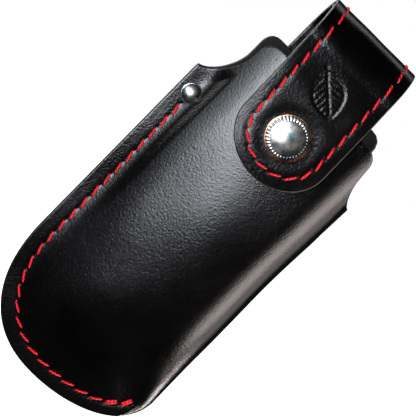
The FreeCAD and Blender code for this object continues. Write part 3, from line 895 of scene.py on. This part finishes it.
# nickel is a warm silver that clouds to blue grey, painted reflections of the surroundings laid as random
# clouds; on the small parts it is evenly dull, and where it has worn off the cap's border the brass shows
# pinkish brown; the spring is a dark bronze
nickel = plated("nickel-plated brass", "#e4d8cc", "#8fa6ab", 0.24, 0.4)
worn_nickel = plated("nickel-plated steel", "#cfccc6", "#b5b1ab", 0.16, 0.3)
copper_wash = plated("bare brass under worn plating", "#cfa182", "#a9775a", 0.22, 0.3)
spring_wire = plated("phosphor bronze spring wire", "#c08a5a", "#99683f", 0.25, 0.2)
LEATHER = [black, flesh, edge_ink]
STRAP_LEATHER = [strap_black, flesh, edge_ink]

# ---- pouch

seam = Row(outline(SEAM_INSET, RIVET[1] - RIVET_R - 1.0, SEAM_END_Z), SEAM_PITCH, SEAM_SLANT)
pouch_grid, pouch_flat = pouch_surface()
front_flat = np.stack([pouch_grid[:, :FRONT_COLS, 0], pouch_grid[:, :FRONT_COLS, 2]], -1)
back_flat = np.stack([pouch_grid[:, -BACK_COLS:, 0], pouch_grid[:, -BACK_COLS:, 2]], -1)
pouch_relief = POUCH_WAVE * waves(pouch_grid, POUCH_WAVE_MM, 3)
calm = 1 - bell(np.linalg.norm(pouch_grid[..., ::2] - (STRAP_X + 1.2, SNAP_Z), axis=-1), CALM_W)
pouch_relief[:, :FRONT_COLS] *= calm[:, :FRONT_COLS]
pouch_relief[:, -BACK_COLS:] *= 0.3
pouch_relief[:, :FRONT_COLS] += stitch_relief(front_flat, seam, SEAM_GROOVE, SEAM_HOLE)
pouch_relief[:, -BACK_COLS:] += stitch_relief(back_flat, seam, SEAM_GROOVE, SEAM_HOLE)
pouch = leather("pouch_leather", pouch_grid, pouch_relief, PANEL, pouch_flat, (0, -1, 0), LEATHER)


def on_front(xz, lift):
    """Point lift outside the front's face."""
    return np.stack([xz[..., 0], -(front_height(xz) + lift), xz[..., 1]], -1)


def on_back(xz, lift):
    """Point lift outside the back's face."""
    return np.stack([xz[..., 0], lift, xz[..., 1]], -1)


pieces = {"pouch": [], "riser": [], "tab": []}
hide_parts("pouch_body")
pieces["pouch"].append(pouch)
# the seam is locked at the tip: its last two stitches are sewn twice, side by side
lock_line = seam.line[-STITCH_STEPS * LOCK_STITCHES - 1:]
lock_side = np.gradient(lock_line, axis=0)
lock_side /= np.linalg.norm(lock_side, axis=1, keepdims=True)
lock = Row(lock_line + 2 * THREAD_R * lock_side[:, ::-1] * (-1, 1), SEAM_PITCH, SEAM_SLANT)
for side, surface in (("front", on_front), ("back", on_back)):
    row = thread("seam_stitching_" + side, [seam, lock], surface, red)
    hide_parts("seam_thread_" + side)
    pieces["pouch"].append(row)

# ---- strap

REAR_COLS, REAR_ROWS = 62, 190
TAB_COLS, TAB_ROWS = 84, 210
half_seam = 0.5 * STRAP_W - STRAP_SEAM


def edge_rows(low, high):
    """The two rows of stitches along the rear strap, as straight flat lines."""
    columns = (STRAP_X - half_seam, STRAP_X + half_seam)
    return [Row([(x, low), (x, high)], STRAP_PITCH, STRAP_SLANT) for x in columns]


def cross_row(u):
    """Row across the strap, at a distance along it, where it's sewn to the back panel."""
    reach = half_seam - 1.5
    return Row([(STRAP_X - reach, u), (STRAP_X + reach, u)], STRAP_PITCH, STRAP_SLANT)


def along_at(z):
    """Distance along the strap at a height on its rear, below the bend."""
    rear = ALONG < ENDS[7]
    return float(np.interp(z, LINE_Z[rear], ALONG[rear]))


tab_end_line = tab_curve(STRAP_SEAM)
tab_line = np.concatenate([
    [[-half_seam, SPLIT + 3]], tab_end_line, [[half_seam, SPLIT + 3]],
])
tab_line = resample(tab_line, 900)
tab_line[:, 0] += skew(tab_line[:, 1])
tab_row = Row(tab_line, STRAP_PITCH, TAB_SLANT)
loop_low, loop_high = along_at(LOOP_LOW_Z + 1), along_at(LOOP_HIGH_Z - 1)
loop_rows = edge_rows(loop_low, loop_high)
riser_rows = edge_rows(along_at(HINGE_Z + 1), SPLIT)
cross_heights = (LOOP_END_Z + 4, LOOP_LOW_Z - 3, LOOP_HIGH_Z + 2, HINGE_Z - 2)
cross_rows = [cross_row(along_at(z)) for z in cross_heights]

rear_flat = rear_outline(REAR_COLS, REAR_ROWS)
tab_flat = tab_outline_grid(TAB_COLS, TAB_ROWS)


def strap_relief(flat, rows, seed):
    """Relief of a strap's face: soft unevenness and the grooves of its stitches."""
    total = STRAP_WAVE * waves(flat, STRAP_WAVE_MM, seed)
    for row in rows:
        total = total + stitch_relief(flat, row, STRAP_GROOVE, STRAP_HOLE)
    return total


def facing(flat, sign):
    """Direction away from the strap's face at the middle of a flat grid."""
    middle = flat[flat.shape[0] // 2, flat.shape[1] // 2]
    return sign * (on_strap(middle, 1.0) - on_strap(middle, 0.0))


def strap_layer(name, flat, relief, outer):
    """One layer of the strap: the outer one, or the lining inside it."""
    depth, thickness, sign = (STRAP, STRAP_OUTER, 1) if outer else (0.0, STRAP_LINING - LAYER_GAP, -1)
    return leather(name, on_strap(flat, depth), relief, thickness, flat, facing(flat, sign), STRAP_LEATHER,
                   joined=True)


def leaf_stamp(flat):
    """Pressed leaf: an outline, a midrib and side veins, as lines of even depth.

    The outline's half width is a power of a sine along the midrib; the
    veins leave it at a slant, evenly spaced, and stop at the outline.
    """
    middle = np.array([skew(LEAF_U), LEAF_U])
    gap = (flat - middle) @ np.array([[math.cos(LEAF_TURN), -math.sin(LEAF_TURN)],
                                      [math.sin(LEAF_TURN), math.cos(LEAF_TURN)]])
    along = gap[..., 0] / LEAF_LENGTH + 0.5
    half = 0.5 * LEAF_WIDTH * np.sin(np.pi * np.clip(along, 0, 1)) ** 0.8
    within = (along > 0) & (along < 1)
    border = bell(np.abs(gap[..., 1]) - half, LEAF_LINE_W) * within
    midrib = bell(gap[..., 1], LEAF_LINE_W) * (along > -0.12) * (along < 0.94)
    slant = gap[..., 0] - VEIN_SLANT * np.abs(gap[..., 1])
    vein = bell((slant / VEIN_GAP - np.round(slant / VEIN_GAP)) * VEIN_GAP, VEIN_W)
    vein = vein * within * (np.abs(gap[..., 1]) < half - 0.3)
    field = np.clip((half - np.abs(gap[..., 1])) / 0.6, 0, 1) * within
    return -LEAF_FIELD * field - LEAF_LINE * np.maximum(np.maximum(border, midrib), VEIN_SHARE * vein)


def tab_shape(flat):
    """Outer relief of the tab: a crown across it, fine wrinkles and a dip round the cap."""
    cap = np.array([skew(CAP_U), CAP_U])
    gap = flat - cap
    radius = np.linalg.norm(gap, axis=-1)
    angle = np.arctan2(gap[..., 0], gap[..., 1])
    ripple = np.sin(WRINKLES * angle + 2.0 * np.sin(3 * angle)) * bell(radius - CAP_R - 1.4, 1.4)
    dip = -CAP_DIP * bell(np.maximum(radius - CAP_R, 0), CAP_DIP_W)
    across = (flat[..., 0] - skew(flat[..., 1])) / (0.5 * STRAP_W)
    crown = -CROWN * across ** 2 * smooth((flat[..., 1] - CROWN_U) / CROWN_SPAN)
    return dip + WRINKLE * ripple + crown


CAP_U = TAB_END - (SNAP_Z - TAB_END_Z)
LEAF_U = TAB_END - (LEAF_Z - TAB_END_Z)
CROWN_U = TAB_END - (CROWN_Z - TAB_END_Z)
rear_relief = strap_relief(rear_flat, loop_rows + riser_rows + cross_rows, 11)
rear_outer = strap_layer("loop_and_riser_leather", rear_flat, rear_relief, True)
rear_lining_relief = LINING_WAVE * waves(rear_flat, LINING_WAVE_MM, 12)
rear_lining = strap_layer("loop_and_riser_lining", rear_flat, rear_lining_relief, False)
tab_relief = strap_relief(tab_flat, [tab_row], 13) + tab_shape(tab_flat) + leaf_stamp(tab_flat)
tab_outer = strap_layer("tab_leather", tab_flat, tab_relief, True)
tab_lining = strap_layer("tab_lining_leather", tab_flat, strap_relief(tab_flat, [tab_row], 14), False)


def outside(xu, lift):
    """Point lift outside the strap's outer face."""
    return on_strap(xu, STRAP + lift)


def inside(xu, lift):
    """Point lift off the lining's bare face."""
    return on_strap(xu, -lift)


def in_pouch(xu, lift):
    """Point lift inside the back panel, level with a point of the strap."""
    return on_strap(xu, 0.0) * (1, 0, 1) + np.stack([0 * lift, -(PANEL + lift), 0 * lift], -1)


rear_thread = thread("loop_edge_stitching", loop_rows + riser_rows, outside, red)
cross_thread = thread("loop_cross_stitching", cross_rows, outside, red)
cross_inside = thread("loop_cross_stitching_inside", cross_rows, in_pouch, red)
tab_thread = thread("tab_stitching_outer", [tab_row], outside, red)
tab_thread_in = thread("tab_stitching_inner", [tab_row], inside, red)

stands_for = [
    (rear_outer, "strap_leather", ["belt_loop_outer", "riser_outer"]),
    (rear_lining, "lining_leather", ["belt_loop_lining", "riser_lining"]),
    (tab_outer, "strap_leather", ["tab_outer"]),
    (tab_lining, "lining_leather", ["tab_lining"]),
    (rear_thread, "red_thread", ["loop_edge_thread", "riser_thread_outer"]),
    (cross_thread, "red_thread", ["loop_cross_thread"]),
    (cross_inside, "red_thread", ["loop_inside_thread"]),
    (tab_thread, "red_thread", ["tab_thread_outer"]),
    (tab_thread_in, "red_thread", ["tab_thread_inner", "riser_thread_inner"]),
]
for piece, slot_name, nodes in stands_for:
    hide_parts(*nodes)
pieces["pouch"] += [cross_thread, cross_inside]

# ---- metal

def dome(radius, rise, rim, count=22):
    """Profile of a domed cap: part of a sphere, its rolled rim, then under to the middle."""
    sphere = ((radius - 0.5 * rim) ** 2 + (rise - rim) ** 2) / (2 * (rise - rim))
    r = np.linspace(0.1, radius - 0.5 * rim, count)
    crown = np.stack([r, np.sqrt(sphere ** 2 - r ** 2) - sphere + rise], -1)
    b = np.linspace(0.5 * np.pi, -0.5 * np.pi, 10)
    roll = np.stack([radius - rim + rim * np.cos(b), rim * (0.5 + 0.5 * np.sin(b))], -1)
    return np.concatenate([crown[:-1], roll, [[0.5 * radius, 0.05], [0.1, 0.05]]])


def beads(radius, angle):
    """A ring of small beads in a shallow track just inside the cap's border."""
    bead = 0.5 + 0.5 * np.cos(BEADS * angle)
    off = radius - BEAD_RING
    return BEAD_RISE * bell(off, BEAD_W) * bead - TRACK_DEPTH * bell(off, TRACK_W)


cap_x = float(skew(CAP_U))
cap_profile = dome(CAP_R, CAP_RISE, CAP_RIM, 44)
cap = lathe("snap_cap_dome", cap_profile, (cap_x, SNAP_Z), TAB_GAP + STRAP - CAP_DIP,
            [nickel, copper_wash], turns=264, relief=beads, rim=CAP_R - CAP_WORN)
rivet = lathe("seam_rivet_dome", dome(RIVET_R, RIVET_RISE, RIVET_RIM), RIVET, 2 * PANEL, [nickel])
for piece, node in ((cap, "snap_cap"), (rivet, "seam_rivet_cap")):
    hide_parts(node)
pieces["tab"].append(cap)
pieces["pouch"].append(rivet)

finish_of = {
    "seam_rivet_base": worn_nickel, "snap_stud": worn_nickel, "snap_stud_post": worn_nickel,
    "snap_socket": worn_nickel, "snap_spring": spring_wire,
}
for node, metal in finish_of.items():
    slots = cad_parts[node].data.materials
    slots.clear()
    slots.append(metal)

# ---- what moves with what

for body, group in pieces.items():
    for piece in group:
        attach(piece, body)
for piece in (rear_outer, rear_lining, rear_thread):
    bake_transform(piece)
for piece in (tab_outer, tab_lining, tab_thread, tab_thread_in):
    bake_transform(piece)

# ---- camera, light, floor

YAW, PITCH, DISTANCE = math.radians(6.0), math.radians(7.0), 560.0
AIM = (1.46, -10.0, 81.33)
ROLL = math.radians(45.0)
LENS = 149.5
COOL, WARM = "#f3f6ff", "#fff2ec"
AMBIENT, BACKDROP = 0.02, 1.0

ahead = Vector((math.sin(YAW) * math.cos(PITCH), math.cos(YAW) * math.cos(PITCH), -math.sin(PITCH)))
rightward = Vector((math.cos(YAW), -math.sin(YAW), 0))
upward = Vector((math.sin(YAW) * math.sin(PITCH), math.cos(YAW) * math.sin(PITCH), math.cos(PITCH)))
right = math.cos(ROLL) * rightward + math.sin(ROLL) * upward
up = math.cos(ROLL) * upward - math.sin(ROLL) * rightward
aim = Vector(place(AIM))
camera = bpy.data.objects.new("camera", bpy.data.cameras.new("camera"))
camera.data.lens = LENS
camera.data.clip_start, camera.data.clip_end = 0.01, 20.0
camera.matrix_world = Matrix.Translation(aim - DISTANCE * MM * ahead) @ Matrix(
    (right, up, -ahead)).transposed().to_4x4()
bpy.context.scene.collection.objects.link(camera)
bpy.context.scene.camera = camera
bpy.context.scene.view_settings.view_transform = "Standard"


def soft_box(name, spot, width, height, watts, tint="#ffffff"):
    """Oval area light at a spot in the sheath's millimetres, facing the sheath."""
    light = bpy.data.lights.new(name, "AREA")
    light.shape = "ELLIPSE"
    light.size, light.size_y = width * MM, height * MM
    light.energy = watts
    light.color = colour(tint)[:3]
    lamp = bpy.data.objects.new(name, light)
    here = Vector(place(spot))
    lamp.rotation_mode = "QUATERNION"
    lamp.rotation_quaternion = (aim - here).to_track_quat("-Z", "Y")
    lamp.location = here
    bpy.context.scene.collection.objects.link(lamp)
    return lamp


def around_aim(azimuth, z, reach=660.0):
    """Spot at an azimuth in degrees to the right of straight in front, at a height."""
    turn = math.radians(azimuth)
    return (AIM[0] + reach * math.sin(turn), AIM[1] - reach * math.cos(turn), z)


# each main light is a few soft boxes one before the other, so that it fades out towards its border
for width, height, watts in ((115, 90, 0.3), (230, 160, 1.9), (345, 215, 3.0)):
    soft_box("key", around_aim(-20, 100), width, height, watts, COOL)
for width, height, watts in ((400, 240, 1.5), (560, 290, 1.2)):
    soft_box("key_upper_left", around_aim(-43, 145), width, height, watts, COOL)
soft_box("key_wide", around_aim(-27, 105), 470, 250, 1.8, COOL)
soft_box("key_far_left", around_aim(-68, 180), 300, 240, 0.2, COOL)
# the strips that draw the fold's band are flagged off the press stud and the rivet
flagged = bpy.data.collections.new("flagged_off_the_strips")
for piece in (cap, rivet):
    flagged.objects.link(piece)
for member in flagged.collection_objects:
    member.light_linking.link_state = "EXCLUDE"
strips = [soft_box("fold_strip", around_aim(52, 40, 600), width, 600, watts, WARM)
          for width, watts in ((120, 2.2), (290, 4.2))]
strips.append(soft_box("fold_strip_back", around_aim(80, 40, 600), 240, 600, 1.2, WARM))
strips.append(soft_box("fold_strip_low", (570, -60, -330), 200, 260, 3.2, WARM))
for strip in strips:
    strip.light_linking.receiver_collection = flagged
soft_box("top", (20, 320, 720), 380, 200, 0.3)
soft_box("behind", (-480, 560, 260), 380, 380, 2.5)
soft_box("left_side", (-640, 80, 150), 160, 420, 0.8)

world = bpy.data.worlds.new("studio")
bpy.context.scene.world = world
world.use_nodes = True
sky = world.node_tree
backdrop_seen = add(sky, "LightPath", out="Is Camera Ray")
brightness = add(sky, "MapRange", {"Value": backdrop_seen, "To Min": AMBIENT, "To Max": BACKDROP})
sky.links.new(brightness, sky.nodes["Background"].inputs["Strength"])
sky.nodes["Background"].inputs["Color"].default_value = (1, 1, 1, 1)

# the floor is matt white paint that only the camera sees: it neither mirrors in nor shades the leather
FLOOR = 3000
floor_corners = [(-FLOOR, -FLOOR, -2), (FLOOR, -FLOOR, -2), (FLOOR, FLOOR, -2), (-FLOOR, FLOOR, -2)]
floor = make_piece("floor", floor_corners, [(0, 1, 2, 3)], [])
floor_paint, floor_tree, floor_shader = material("pale floor paint", Roughness=0.9, Emission_Strength=1.0,
                                                 Specular_IOR_Level=0.0)
floor_shader.inputs["Emission Color"].default_value = (1, 1, 1, 1)
floor.visible_glossy = False
floor.visible_diffuse = False
floor.visible_shadow = False
floor_noise = add(floor_tree, "TexNoise", {"Scale": 3.0})
feed(floor_shader,
     Base_Color=add(floor_tree, "ValToRGB", {"Fac": floor_noise},
                    stops=((0.3, "#f6f6f6"), (0.7, "#fafafa"))))
floor.data.materials.append(floor_paint)
